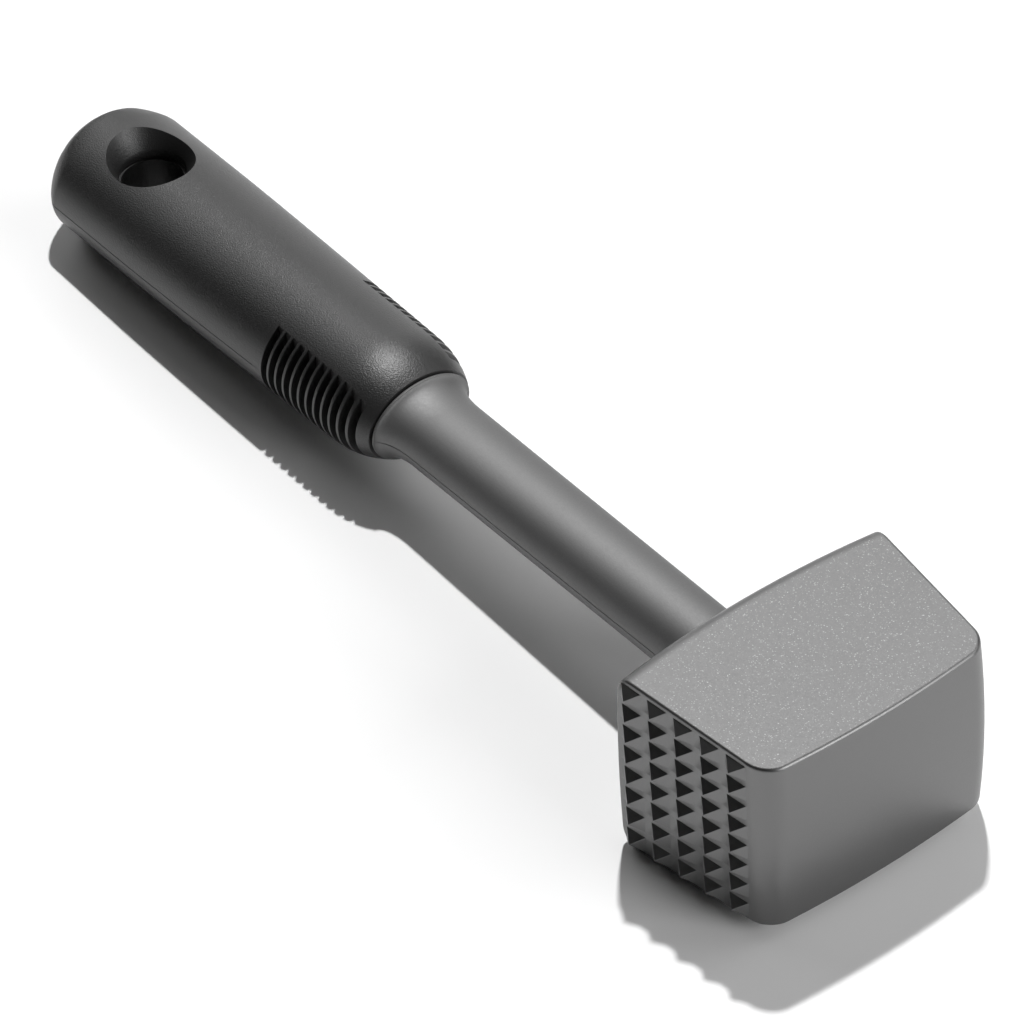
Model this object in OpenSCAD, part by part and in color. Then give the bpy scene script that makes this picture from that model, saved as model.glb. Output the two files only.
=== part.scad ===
// Meat tenderizer: a die-cast head, shank and tang in one piece, a stiff moulded core on the tang,
// and a soft moulded sleeve with fins on both sides and a hanging hole through its butt.
// The origin is the middle of the head's underside, +X points away from the hand along the handle,
// +Y towards the smooth pounding face and +Z up, out of the flat side.

/* [Head] */
// Length of the head along the handle, at its middle
head_length = 42.7; // [34:0.1:54]
// Width of the head between its two pounding faces, at its middle
head_width = 60.7; // [50:0.1:76]
// Height of the head at its middle
head_height = 42.2; // [36:0.1:56]
// Angle by which each pounding face closes in towards the far end
face_angle = 6.8; // [0:0.1:10]
// Angle by which the top and underside close in towards the far end
flat_angle = 2.3; // [0:0.1:4]
// How far the back of the head bows out towards the hand
back_bow = 2.3; // [0.5:0.1:4]
// Width of the flat stretch in the middle of the back, behind the shank's root
back_flat = 18; // [10:0.5:22]
// How far the far end of the head bows out
front_bow = 1.5; // [0.5:0.1:3]
// How far the smooth face and the two ends belly out between the top and the underside
wall_belly = 0.75; // [0:0.05:1.5]
// Radius of the two upright corners at the far end
front_corner_r = 5; // [2:0.1:9]
// Radius of the two upright corners on the hand side
back_corner_r = 2; // [1:0.1:4]
// Rounding of the top and bottom edges along the tooth side
tooth_edge_r = 1; // [0.3:0.1:2]
// Rounding of the top and bottom edges along the smooth face and the far end
edge_r = 0.5; // [0.3:0.1:2]
// Rounding of the top and bottom edges on the hand side
back_edge_r = 4; // [2:0.1:6]

/* [Teeth] */
// Number of columns of teeth
tooth_columns = 5; // [3:1:5]
// Number of teeth in a column
tooth_rows = 8; // [4:1:12]
// Width of a tooth's base along the head
tooth_width = 5; // [3:0.1:5.3]
// Height of a tooth from the flat wall to its point
tooth_height = 2.05; // [1.4:0.05:2.6]
// Width of the flat channel between two columns of teeth
channel_width = 1.65; // [1:0.05:1.9]
// Width of the flat gap between two teeth of a column
row_gap = 1.5; // [0.9:0.05:2]
// Distance from the back wall of the head to the first column of teeth
field_setback = 2; // [1.5:0.1:3]
// Height of the plain strip between the edge's rounding and the nearest row of teeth
field_rim = 0.1; // [0:0.05:2]

/* [Shank] */
// Length of the bare shank, from the head's back to the grip
shank_length = 97.9; // [70:0.1:130]
// Width of the shank at the grip
shank_width = 18.4; // [14:0.1:22]
// Width of the shank at the head
shank_width_head = 17; // [13:0.1:20]
// Thickness of the shank at the grip
shank_thickness = 13.6; // [10:0.1:16]
// Thickness of the shank at the head
shank_thickness_head = 14.6; // [10:0.1:16]
// Width of the collar that the grip butts against
collar_width = 24; // [21:0.1:27]
// Thickness of the collar
collar_thickness = 17.6; // [15:0.1:20]
// Length over which the collar flares down to the shank
flare_length = 8; // [5:0.1:14]
// Length of the collar's straight rim
collar_rim = 0.6; // [0.3:0.1:2]
// Radius of the hollow between the shank and the head
shank_root_r = 2.5; // [1:0.1:4]

/* [Tang] */
// Length of the tang inside the grip
tang_length = 62; // [40:0.5:74]
// Width of the tang
tang_width = 13; // [10:0.1:14]
// Thickness of the tang
tang_thickness = 6.4; // [5:0.1:7.4]
// Radius of the holes through the tang that the core locks into
tang_hole_r = 2.6; // [1.5:0.1:3.2]
// Distance between the two holes through the tang
tang_hole_pitch = 30; // [20:0.5:36]

/* [Grip] */
// Length of the grip
grip_length = 110.6; // [100:0.1:124]
// Width of the grip at its butt
grip_width = 33.2; // [31:0.1:37]
// Width of the grip at its fins
grip_width_front = 30.4; // [28:0.1:33]
// Thickness of the grip
grip_thickness = 24.6; // [23:0.1:28]
// How far the grip stands proud of the collar at the joint
joint_step = 0.5; // [0.2:0.1:1]
// Length of the rounded end at the butt, seen from above
butt_round = 10.8; // [8:0.1:14]
// Length of the rounded end at the butt, seen from the side
butt_round_side = 6.6; // [5:0.1:9]
// Length over which the front of the grip rolls in to the collar
nose_round = 12; // [9:0.1:14]

/* [Fins] */
// Number of grooves on each side
groove_count = 12; // [6:1:13]
// Distance from one fin to the next
groove_pitch = 2.4; // [2:0.05:2.5]
// Thickness of a fin
fin_thickness = 0.65; // [0.5:0.05:0.9]
// Width of the plain stem between the grooves of the two sides
fin_stem = 21; // [20:0.1:24]
// Distance from the front of the grip to the first groove
groove_start = 2.7; // [2:0.1:4]

/* [Hanging hole] */
// Distance from the butt to the middle of the hanging hole
hole_setback = 23; // [19:0.1:28]
// Radius of the hole's mouth in the sleeve
hole_mouth_r = 9.9; // [8.2:0.1:10.5]
// Radius of the sleeve's lip at the foot of the mouth
hole_lip_r = 7.1; // [6.9:0.05:7.6]
// Radius of the hole through the stiff eyelet
eyelet_r = 6.6; // [4.5:0.05:6.8]
// Thickness of the stiff eyelet
eyelet_thickness = 11; // [8:0.1:13]
// Height of the lip over the middle of the grip
lip_height = 7.8; // [6.8:0.1:8.6]

/* [Core] */
// Width of the stiff core round the tang
core_width = 17.2; // [16.4:0.1:18.4]
// Thickness of the stiff core
core_thickness = 12.4; // [10.4:0.1:14]
// Radius of the eyelet's ring
eyelet_ring_r = 9.6; // [9:0.1:11]

/* [Fits] */
// Gap at the joint between the collar and the grip
joint_gap = 0.3; // [0.1:0.05:0.6]
// Gap between pieces that are moulded one on another
mould_gap = 0.1; // [0.05:0.05:0.2]

/* [Hidden] */

// Steps round a section of the handle, and round the bores
SIDES = 48;
BORE_SIDES = 96;
// Small overlap that makes joined solids one
WELD = 0.5;
// Depth to which a tooth's facets run on under the wall's surface
tooth_root = 0.15;

// Where the head and handle stand along X, and the height of the handle's axis
front_x = head_length / 2;
back_x = -head_length / 2;
axis_z = head_height / 2;
collar_x = back_x - shank_length;
grip_front_x = collar_x - joint_gap;
butt_x = grip_front_x - grip_length;
hole_x = butt_x + hole_setback;

// Head: the pounding faces as straight walls, the back and far end as arcs
wall_reach = head_width / 2 * cos(face_angle);
back_half = head_width / 2 - back_x * tan(face_angle);
front_half = head_width / 2 - front_x * tan(face_angle);
back_arc_r = (pow(back_half, 2) + pow(back_bow, 2)) / (2 * back_bow);
front_arc_r = (pow(front_half, 2) + pow(front_bow, 2)) / (2 * front_bow);

// Half of the head's height at a distance x along the handle
function half_height(x) = head_height / 2 - x * tan(flat_angle);

// Points from a to b in n steps, ends included
function steps(a, b, n) = [for (i = [0:n]) a + (b - a) * i / n];

// Middle of the corner circle between a side wall and an end arc, for walls moved in by side_in and end_in
function corner_middle(end, r, side_in, end_in) =
    let (
        arc_r = (end > 0 ? front_arc_r : back_arc_r) - end_in - r,
        arc_x = end > 0 ? front_x - front_arc_r : back_x + back_arc_r,
        along = [cos(face_angle), -sin(face_angle)],
        foot = (wall_reach - side_in - r) * [sin(face_angle), cos(face_angle)] - [arc_x, 0],
        half_b = along * foot,
        t = -half_b + end * sqrt(half_b * half_b - foot * foot + arc_r * arc_r)
    )
    foot + [arc_x, 0] + t * along;

// Direction from an end arc's middle to a corner's middle
function corner_angle(end, middle) =
    let (arc_x = end > 0 ? front_x - front_arc_r : back_x + back_arc_r)
    atan2(middle[1], middle[0] - arc_x);

// Smooth change from a to b as t runs from 0 to 1
function blend(a, b, t) = a + (b - a) * (1 - cos(180 * t)) / 2;

// Half of the head's plan, from the far end to the back, with its edge rounding carried as a third value.
// The side wall and the two ends stand in from the widest line by a belly of their own.
function half_plan(side_edge_r, side_belly, end_belly, turn) =
    let (
        side_in = side_belly + side_edge_r * (1 - cos(turn)),
        front_in = end_belly + edge_r * (1 - cos(turn)),
        back_in = end_belly + back_edge_r * (1 - cos(turn)),
        fr = front_corner_r - front_in / 2,
        f = corner_middle(1, fr, side_in, front_in),
        b = corner_middle(-1, back_corner_r, side_in, back_in),
        fa = corner_angle(1, f),
        ba = corner_angle(-1, b),
        wall = 90 - face_angle,
        flat_end = 180 - asin(back_flat / 2 / back_arc_r)
    )
    concat(
        [for (a = steps(0, fa, 7)) if (a < fa)
            let (r = front_arc_r - front_in)
            [front_x - front_arc_r + r * cos(a), r * sin(a), edge_r]],
        [for (i = [0:7])
            let (a = fa + (wall - fa) * i / 7)
            [f[0] + fr * cos(a), f[1] + fr * sin(a), blend(edge_r, side_edge_r, i / 7)]],
        [for (i = [1:5])
            let (
                p = f + fr * [cos(wall), sin(wall)],
                q = b + back_corner_r * [cos(wall), sin(wall)]
            )
            [p[0] + (q[0] - p[0]) * i / 6, p[1] + (q[1] - p[1]) * i / 6, side_edge_r]],
        [for (i = [0:5])
            let (a = wall + (ba - wall) * i / 5)
            [b[0] + back_corner_r * cos(a), b[1] + back_corner_r * sin(a),
             blend(side_edge_r, back_edge_r, i / 5)]],
        [for (a = steps(ba, flat_end, 5)) if (a > ba)
            let (r = back_arc_r - back_in)
            [back_x + back_arc_r + r * cos(a), r * sin(a), back_edge_r]]
    );

// The whole plan as a closed ring, counter-clockwise seen from above, with a flat wall on the tooth side
function plan_ring(belly, turn) =
    let (
        smooth = half_plan(edge_r, belly, belly, turn),
        toothed = half_plan(tooth_edge_r, wall_belly, belly, turn)
    )
    concat(smooth, [for (i = [len(toothed) - 1:-1:1]) [toothed[i][0], -toothed[i][1], toothed[i][2]]]);

// One level of the head: side is -1 below and 1 above, level runs from 0 to 1 up the wall,
// and turn runs round the edge
function head_ring(side, level, turn) =
    [for (p = plan_ring(wall_belly * level * level, turn))
        let (wall_top = half_height(p[0]) - p[2])
        [p[0], p[1], side * (wall_top * level + p[2] * sin(turn))]];

// Walls between rings that all have the same number of points, closed at both ends
module loft(rings) {
    n = len(rings[0]);
    points = [for (ring = rings) for (p = ring) p];
    walls = [for (j = [0:len(rings) - 2]) for (i = [0:n - 1])
        let (a = j * n + i, b = j * n + (i + 1) % n)
        each [[a, a + n, b], [b, a + n, b + n]]];
    ends = [[for (i = [0:n - 1]) i], [for (i = [n - 1:-1:0]) (len(rings) - 1) * n + i]];
    polyhedron(points = points, faces = concat(walls, ends), convexity = 8);
}

module head_block() {
    lower = [for (turn = [90:-18:18]) head_ring(-1, 1, turn)];
    middle = [for (level = steps(-1, 1, 8)) head_ring(level < 0 ? -1 : 1, abs(level), 0)];
    upper = [for (turn = [18:18:90]) head_ring(1, 1, turn)];
    loft(concat(lower, middle, upper));
}

// Tooth field: places along the wall measured from the foot of the square to the wall through the origin
field_reach = wall_reach - wall_belly;
column_pitch = tooth_width + channel_width;
field_start = (back_x + back_bow - wall_reach * sin(face_angle)) / cos(face_angle) + field_setback;

// Half the height of the tooth field at a place along the wall, and the distance from one row to the next
function field_half(s) =
    half_height(field_reach * sin(face_angle) + s * cos(face_angle)) - tooth_edge_r - field_rim;
function row_pitch(s) = (2 * field_half(s) + row_gap) / tooth_rows;

// Puts a drawing made in along-the-wall, up and out-of-the-wall directions onto the tooth side
module on_tooth_side() {
    multmatrix([
        [cos(face_angle), 0, sin(face_angle), field_reach * sin(face_angle)],
        [sin(face_angle), 0, -cos(face_angle), -field_reach * cos(face_angle)],
        [0, 1, 0, 0],
        [0, 0, 0, 1]
    ])
        children();
}

// All the teeth as one sheet of pyramids, whose flats between the teeth lie just under the wall's surface
module teeth() {
    spread = tooth_root / tooth_height / 2;
    lines = [for (c = [0:tooth_columns - 1]) each [
        field_start + c * column_pitch - spread * tooth_width,
        field_start + c * column_pitch + tooth_width * (1 + spread)]];
    cols = len(lines);
    rows = 2 * tooth_rows;
    grid = [for (s = lines) for (j = [0:tooth_rows - 1])
        let (low = j * row_pitch(s) - field_half(s), high = low + row_pitch(s) - row_gap)
        each [[s, low - spread * (high - low), -tooth_root], [s, high + spread * (high - low), -tooth_root]]];
    tips = [for (c = [0:tooth_columns - 1]) for (j = [0:tooth_rows - 1])
        let (s = field_start + c * column_pitch + tooth_width / 2)
        [s, (j + 0.5) * row_pitch(s) - row_gap / 2 - field_half(s), tooth_height]];
    under = [for (p = grid) [p[0], p[1], -WELD]];
    first_tip = len(grid);
    first_under = first_tip + len(tips);
    sheet = [for (c = [0:cols - 2]) for (j = [0:rows - 2])
        let (a = c * rows + j, b = a + rows, tip = first_tip + c / 2 * tooth_rows + j / 2)
        each c % 2 == 0 && j % 2 == 0
            ? [[a, a + 1, tip], [a + 1, b + 1, tip], [b + 1, b, tip], [b, a, tip]]
            : [[a, a + 1, b + 1], [a, b + 1, b]]];
    floor_faces = [for (c = [0:cols - 2]) for (j = [0:rows - 2])
        let (a = first_under + c * rows + j, b = a + rows)
        each [[a, b, b + 1], [a, b + 1, a + 1]]];
    edge = concat(
        [for (j = [0:rows - 1]) j],
        [for (c = [1:cols - 1]) c * rows + rows - 1],
        [for (j = [rows - 2:-1:0]) (cols - 1) * rows + j],
        [for (c = [cols - 2:-1:1]) c * rows]
    );
    skirt = [for (i = [0:len(edge) - 1])
        let (a = edge[i], b = edge[(i + 1) % len(edge)])
        each [[b, a, a + first_under], [b, a + first_under, b + first_under]]];
    on_tooth_side()
        polyhedron(
            points = concat(grid, tips, under),
            faces = concat(sheet, floor_faces, skirt),
            convexity = 10
        );
}

// One oval section of the handle, square to it at x
function oval(x, half_w, half_t, n = SIDES) =
    [for (i = [0:n - 1]) [x, half_w * cos(360 * i / n), half_t * sin(360 * i / n)]];

// Half-sizes of the collar's flare at t, from 0 at its rim to 1 at the shank
function flare(t) = 1 - sqrt(1 - pow(1 - t, 2));

module shank() {
    rim_x = collar_x + collar_rim;
    flare_end = rim_x + flare_length;
    root_x = back_x - shank_root_r;
    collar_rings = [for (x = [collar_x, rim_x]) oval(x, collar_width / 2, collar_thickness / 2)];
    flare_rings = [for (i = [1:9])
        let (t = 1 - cos(10 * i))
        oval(rim_x + t * flare_length,
             shank_width / 2 + (collar_width - shank_width) / 2 * flare(t),
             shank_thickness / 2 + (collar_thickness - shank_thickness) / 2 * flare(t))];
    shank_rings = [for (i = [0:8])
        let (t = i / 8)
        oval(flare_end + t * (root_x - flare_end),
             (shank_width + t * (shank_width_head - shank_width)) / 2,
             (shank_thickness + t * (shank_thickness_head - shank_thickness)) / 2)];
    root_rings = [for (a = [15:15:90])
        let (swell = shank_root_r * (1 - cos(a)))
        oval(root_x + shank_root_r * sin(a), shank_width_head / 2 + swell, shank_thickness_head / 2 + swell)];
    buried = [oval(back_x + back_bow + WELD, shank_width_head / 2 + shank_root_r,
                   shank_thickness_head / 2 + shank_root_r)];
    loft(concat(collar_rings, flare_rings, shank_rings, root_rings, buried));
}

// Places of the holes through the tang
tang_hole_x = [for (i = [0, 1]) grip_front_x - tang_length + tang_width / 2 + i * tang_hole_pitch];

// The tang's outline seen from above, grown by gap on every side
module tang_outline(gap) {
    far_x = grip_front_x - tang_length;
    translate([far_x + tang_width / 2, -tang_width / 2 - gap])
        square([collar_x - far_x - tang_width / 2 + WELD, tang_width + 2 * gap]);
    translate([far_x + tang_width / 2, 0])
        circle(r = tang_width / 2 + gap, $fn = BORE_SIDES);
}

module tang(gap = 0) {
    difference() {
        translate([0, 0, -tang_thickness / 2 - gap])
            linear_extrude(height = tang_thickness + 2 * gap)
                tang_outline(gap);
        for (x = tang_hole_x)
            translate([x, 0, -tang_thickness])
                cylinder(r = tang_hole_r - gap, h = 2 * tang_thickness, $fn = BORE_SIDES);
    }
}

module casting() {
    color("silver")
        translate([0, 0, axis_z]) {
            head_block();
            shank();
            teeth();
            tang();
        }
}

// The core's outside, with its eyelet, grown by gap on every side
module core_body(gap = 0) {
    half_t = core_thickness / 2 + gap;
    side_y = (core_width - core_thickness) / 2;
    translate([grip_front_x, 0, 0])
        rotate([0, -90, 0])
            linear_extrude(height = grip_front_x - hole_x - (eyelet_r + eyelet_ring_r) / 2) {
                square([2 * half_t, 2 * side_y], center = true);
                for (side = [-1, 1])
                    translate([0, side * side_y])
                        circle(r = half_t, $fn = BORE_SIDES);
            }
    translate([hole_x, 0, -eyelet_thickness / 2 - gap])
        cylinder(r = eyelet_ring_r + gap, h = eyelet_thickness + 2 * gap, $fn = BORE_SIDES);
}

module grip_core() {
    color("dimgray")
        translate([0, 0, axis_z])
            difference() {
                core_body();
                tang(mould_gap);
                translate([hole_x, 0, -eyelet_thickness])
                    cylinder(r = eyelet_r, h = 2 * eyelet_thickness, $fn = BORE_SIDES);
            }
}

// Narrowing of the rounded butt at depth x from its tip, for a round of the given length and fullness
function butt_factor(x, length, fullness) =
    x >= length ? 1 : pow(1 - pow(1 - x / length, fullness), 1 / fullness);

// Half-width and half-thickness of the grip at x
function grip_half(x) =
    let (
        body = max(0, min(1, (x - butt_x - 0.32 * grip_length) / (0.58 * grip_length))),
        nose = max(0, (x - grip_front_x + nose_round) / nose_round),
        roll = pow(nose, 2.3),
        full_w = (grip_width + (grip_width_front - grip_width) * pow(body, 1.3)) / 2,
        nose_w = collar_width / 2 + joint_step,
        nose_t = collar_thickness / 2 + joint_step
    )
    [(full_w + (nose_w - full_w) * roll) * butt_factor(x - butt_x, butt_round, 1.6),
     (grip_thickness / 2 + (nose_t - grip_thickness / 2) * roll)
        * butt_factor(x - butt_x, butt_round_side, 1.5)];

module grip_body() {
    butt = [for (a = concat([4], steps(10, 80, 7))) butt_x + butt_round * (1 - cos(a))];
    length = [for (i = [0:11]) butt_x + butt_round + i / 11 * (grip_length - butt_round - nose_round)];
    nose = [for (i = [1:8]) grip_front_x - nose_round * (1 - i / 8)];
    loft([for (x = concat(butt, length, nose)) let (half = grip_half(x)) oval(x, half[0], half[1], 60)]);
}

// Comb that cuts the grooves of one side, leaving the fins
module groove_comb() {
    for (i = [0:groove_count - 1])
        translate([grip_front_x - groove_start - (i + 1) * groove_pitch + fin_thickness, fin_stem / 2,
                   -grip_thickness])
            cube([groove_pitch - fin_thickness, grip_width, 2 * grip_thickness]);
}

// Trumpet-shaped mouth of the hanging hole, above and below
module hole_mouth() {
    slope = (hole_mouth_r - hole_lip_r) / (grip_thickness / 2 - lip_height);
    top_z = grip_thickness;
    top_r = hole_lip_r + slope * (top_z - lip_height);
    translate([hole_x, 0, 0])
        rotate_extrude($fn = BORE_SIDES)
            polygon([
                [0, -top_z], [top_r, -top_z], [hole_lip_r, -lip_height],
                [hole_lip_r, lip_height], [top_r, top_z], [0, top_z]
            ]);
}

module grip_sleeve() {
    color("darkslategray")
        translate([0, 0, axis_z])
            difference() {
                grip_body();
                core_body(mould_gap);
                hole_mouth();
                groove_comb();
                mirror([0, 1, 0])
                    groove_comb();
            }
}

casting();
grip_core();
grip_sleeve();
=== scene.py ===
"""Meat tenderizer: the cast head and shank, the stiff core and the soft finned sleeve, on a pale floor."""
import math

import bmesh
import bpy
from bpy.props import FloatProperty, FloatVectorProperty, IntProperty, PointerProperty
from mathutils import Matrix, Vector


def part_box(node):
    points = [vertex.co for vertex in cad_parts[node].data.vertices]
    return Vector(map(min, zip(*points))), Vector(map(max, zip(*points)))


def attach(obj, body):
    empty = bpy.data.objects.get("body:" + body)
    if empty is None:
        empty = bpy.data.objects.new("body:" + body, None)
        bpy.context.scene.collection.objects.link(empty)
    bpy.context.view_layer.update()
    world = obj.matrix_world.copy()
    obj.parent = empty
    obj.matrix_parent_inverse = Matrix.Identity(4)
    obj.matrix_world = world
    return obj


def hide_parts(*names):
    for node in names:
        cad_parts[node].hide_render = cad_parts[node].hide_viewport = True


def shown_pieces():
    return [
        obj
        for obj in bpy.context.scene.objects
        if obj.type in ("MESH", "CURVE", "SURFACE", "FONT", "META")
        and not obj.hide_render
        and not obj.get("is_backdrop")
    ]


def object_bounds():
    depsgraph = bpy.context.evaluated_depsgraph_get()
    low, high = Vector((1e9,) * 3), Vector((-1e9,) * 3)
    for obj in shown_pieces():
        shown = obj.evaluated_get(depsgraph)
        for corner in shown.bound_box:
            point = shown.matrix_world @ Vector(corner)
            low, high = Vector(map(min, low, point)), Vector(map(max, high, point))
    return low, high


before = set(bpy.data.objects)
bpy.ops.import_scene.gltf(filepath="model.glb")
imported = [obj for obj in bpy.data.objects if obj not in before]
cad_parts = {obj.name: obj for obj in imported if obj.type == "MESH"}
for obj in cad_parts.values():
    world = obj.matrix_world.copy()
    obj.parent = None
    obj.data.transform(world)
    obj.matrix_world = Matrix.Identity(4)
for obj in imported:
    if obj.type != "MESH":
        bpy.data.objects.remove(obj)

bl_info = {
    "name": "Meat tenderizer",
    "version": (1, 0, 0),
    "blender": (4, 5, 0),
    "location": "View3D > Sidebar > Tenderizer",
    "description": "Models a cast meat tenderizer with a soft finned grip round its fixed frame",
    "category": "Object",
}

MM = 0.001

# The fixed frame: the head's middle is at X = 0, and the handle's axis runs along X at the height AXIS_Z,
# from the butt through the grip's front, the nose, to the head's far end
CAD_LOW, CAD_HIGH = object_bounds()
CASTING_LOW, CASTING_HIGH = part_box("casting")
SLEEVE_LOW, SLEEVE_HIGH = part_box("grip_sleeve")
AXIS_Z = (CASTING_LOW.z + CASTING_HIGH.z) / 2
FAR_X = CASTING_HIGH.x
NOSE_X = SLEEVE_HIGH.x
BUTT_X = SLEEVE_LOW.x

# Points closer than this are one, and a plane within this of a point cuts through it
TOUCH = 0.002 * MM
# Points whose distances from the middle differ by less than this belong to one row of the mesh
SAME_ROW = 5 * TOUCH
# A face whose normal has a smaller Y than this belongs to the flat wall that carries the teeth
WALL_FACING = -0.99
# Solids that are joined run this far into each other
OVERLAP = 0.5 * MM
# Edges flatter than this are shaded smooth
SMOOTH_BELOW = math.radians(35)
# Depth of the parting lines on the shank and the grip
SEAM_DEPTH = 0.12 * MM

# The grip's outline, seen from above, narrows from this share of its length over this share of it
NARROW_START = 0.32
NARROW_SPAN = 0.58
# A higher power bends the outline later: where it narrows, and where it rolls in at the front
NARROW_POWER = 1.3
ROLL_POWER = 2.3
# Roundness of the butt, seen from above and from the side: 2 is an ellipse, and less is more pointed
BUTT_FULLNESS = 1.6
BUTT_FULLNESS_SIDE = 1.5

# The camera as fitted to the photo: its place in metres, its turn in degrees and its sensor in millimetres
CAMERA_PLACE = (0.737846, -0.61337, 0.949860)
CAMERA_TURN = (47.75259, 2.28766, 51.40285)
CAMERA_SENSOR = 36


def length(name, description, default):
    """A size in metres that a user may change."""
    return FloatProperty(
        name=name, description=description, default=default, min=0, unit="LENGTH", precision=5)


def angle(name, description, degrees):
    """An angle that a user may change."""
    return FloatProperty(name=name, description=description, default=math.radians(degrees), subtype="ANGLE")


def power(name, description, default):
    """The power of a light in watts."""
    return FloatProperty(name=name, description=description, default=default, min=0)


def linear(hex_colour):
    """Linear red, green and blue of an sRGB colour such as A1A2A5."""
    channels = [int(hex_colour[i:i + 2], 16) / 255 for i in (0, 2, 4)]
    return tuple(c / 12.92 if c <= 0.04045 else ((c + 0.055) / 1.055) ** 2.4 for c in channels)


def colour(name, description, hex_colour):
    """A colour that a user may change."""
    return FloatVectorProperty(
        name=name, description=description, default=linear(hex_colour), subtype="COLOR", min=0, max=1)


class HeadSizes(bpy.types.PropertyGroup):
    """Sizes of the cast head"""
    length: length("Length", "Length along the handle, at the middle of the walls", 42.7 * MM)
    width: length("Width", "Width between the two pounding faces, at the head's middle", 60.4 * MM)
    height: length("Height", "Height between the two flat sides, at the head's middle", 42.17 * MM)
    face_angle: angle("Face angle", "How much each pounding face closes in towards the far end", 6.8)
    flat_angle: angle("Flat angle", "How much each flat side closes in towards the far end", 2.3)
    back_bow: length("Back bow", "How far the back bows out towards the hand", 2.3 * MM)
    far_bow: length("Far bow", "How far the far end bows out", 1.5 * MM)
    belly: length("Belly", "How far the smooth face and the ends belly out between the flat sides", 0.75 * MM)
    far_corner: length("Far corner", "Radius of the upright corners at the far end", 5 * MM)
    back_edge: length("Back edge", "Radius of the upper and lower edges at the back", 4 * MM)
    edge: length("Edge", "Radius of all sharp edges", 0.8 * MM)


class ToothSizes(bpy.types.PropertyGroup):
    """Sizes of the tooth field"""
    columns: IntProperty(name="Columns", description="Number of columns of teeth", default=5, min=1)
    rows: IntProperty(name="Rows", description="Number of teeth in a column", default=8, min=2)
    width: length("Width", "Width of a tooth's base along the head", 4.97 * MM)
    channel: length("Channel", "Width of the flat channel between two columns", 1.64 * MM)
    gap: length("Gap", "Height of the flat gap between two teeth of a column", 1.5 * MM)
    height: length("Height", "Height of a tooth over the flat wall", 2.1 * MM)
    setback: length("Setback", "From the back corner to the first column", 1.9 * MM)
    rim: length("Rim", "Height of the plain strip between the edge's rounding and the field", 0.3 * MM)
    crest: length("Crest", "Radius of the teeth's edges", 0.1 * MM)


class ShankSizes(bpy.types.PropertyGroup):
    """Sizes of the bare shank and its collar"""
    length: length("Length", "From the head's back to the grip", 97.9 * MM)
    width: length("Width", "Width at the grip", 18.4 * MM)
    width_head: length("Width at the head", "Width where the shank meets the head", 17 * MM)
    thickness: length("Thickness", "Thickness at the grip", 13.6 * MM)
    thickness_head: length("Thickness at the head", "Thickness where the shank meets the head", 14.6 * MM)
    collar_width: length("Collar width", "Width of the collar", 24 * MM)
    collar_thickness: length("Collar thickness", "Thickness of the collar", 17.6 * MM)
    flare: length("Flare", "Length over which the collar flares down to the shank", 8 * MM)
    rim: length("Rim", "Length of the collar's straight rim", 0.6 * MM)
    root: length("Root", "Radius of the hollow between the shank and the head", 2.5 * MM)
    seam: length("Seam", "Width of the seam that the two halves of the die leave", 0.24 * MM)


class TangSizes(bpy.types.PropertyGroup):
    """Sizes of the tang inside the grip"""
    length: length("Length", "Length inside the grip", 62 * MM)
    width: length("Width", "Width of the tang", 13 * MM)
    thickness: length("Thickness", "Thickness of the tang", 6.4 * MM)
    hole: length("Hole", "Radius of each hole that the core locks into", 2.6 * MM)
    pitch: length("Pitch", "Distance between the two holes", 30 * MM)


class GripSizes(bpy.types.PropertyGroup):
    """Sizes of the soft sleeve"""
    width: length("Width", "Width at the butt", SLEEVE_HIGH.y - SLEEVE_LOW.y)
    width_front: length("Width at the fins", "Width at the fins", 30.4 * MM)
    thickness: length("Thickness", "Thickness of the grip", SLEEVE_HIGH.z - SLEEVE_LOW.z)
    step: length("Step", "How far the grip stands proud of the collar", 0.5 * MM)
    butt_round: length("Butt round", "Length of the rounded butt, seen from above", 10.8 * MM)
    butt_round_side: length("Butt round, side", "Length of the rounded butt, seen from the side", 6.6 * MM)
    nose_round: length("Nose round", "Length over which the front rolls in to the collar", 12 * MM)
    seam: length("Seam", "Width of the mould's parting line", 0.22 * MM)


class FinSizes(bpy.types.PropertyGroup):
    """Sizes of the fins on both sides of the grip"""
    grooves: IntProperty(name="Grooves", description="Number of grooves on each side", default=12, min=1)
    pitch: length("Pitch", "Distance from one fin to the next", 2.4 * MM)
    thickness: length("Thickness", "Thickness of a fin", 0.65 * MM)
    stem: length("Stem", "Width of the plain stem between the grooves of the two sides", 21 * MM)
    start: length("Start", "From the front of the grip to the first groove", 2.7 * MM)
    edge: length("Edge", "Radius of the fins' edges", 0.12 * MM)


class HoleSizes(bpy.types.PropertyGroup):
    """Sizes of the hanging hole"""
    setback: length("Setback", "From the butt to the hole's middle", 23 * MM)
    mouth: length("Mouth", "Radius of the mouth in the sleeve", 9.9 * MM)
    lip: length("Lip", "Radius of the lip at the foot of the mouth", 7.1 * MM)
    lip_height: length("Lip height", "Height of the lip over the grip's middle", 7.8 * MM)
    core_ring: length("Core ring", "Radius of the stiff eyelet's ring", 9.6 * MM)
    core_ring_thickness: length("Core ring thickness", "Thickness of the stiff eyelet's ring", 11 * MM)
    core_width: length("Core width", "Width of the stiff core", 17.2 * MM)
    core_thickness: length("Core thickness", "Thickness of the stiff core", 12.4 * MM)
    gap: length("Gap", "Gap between the core and the sleeve", 0.1 * MM)


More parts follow.
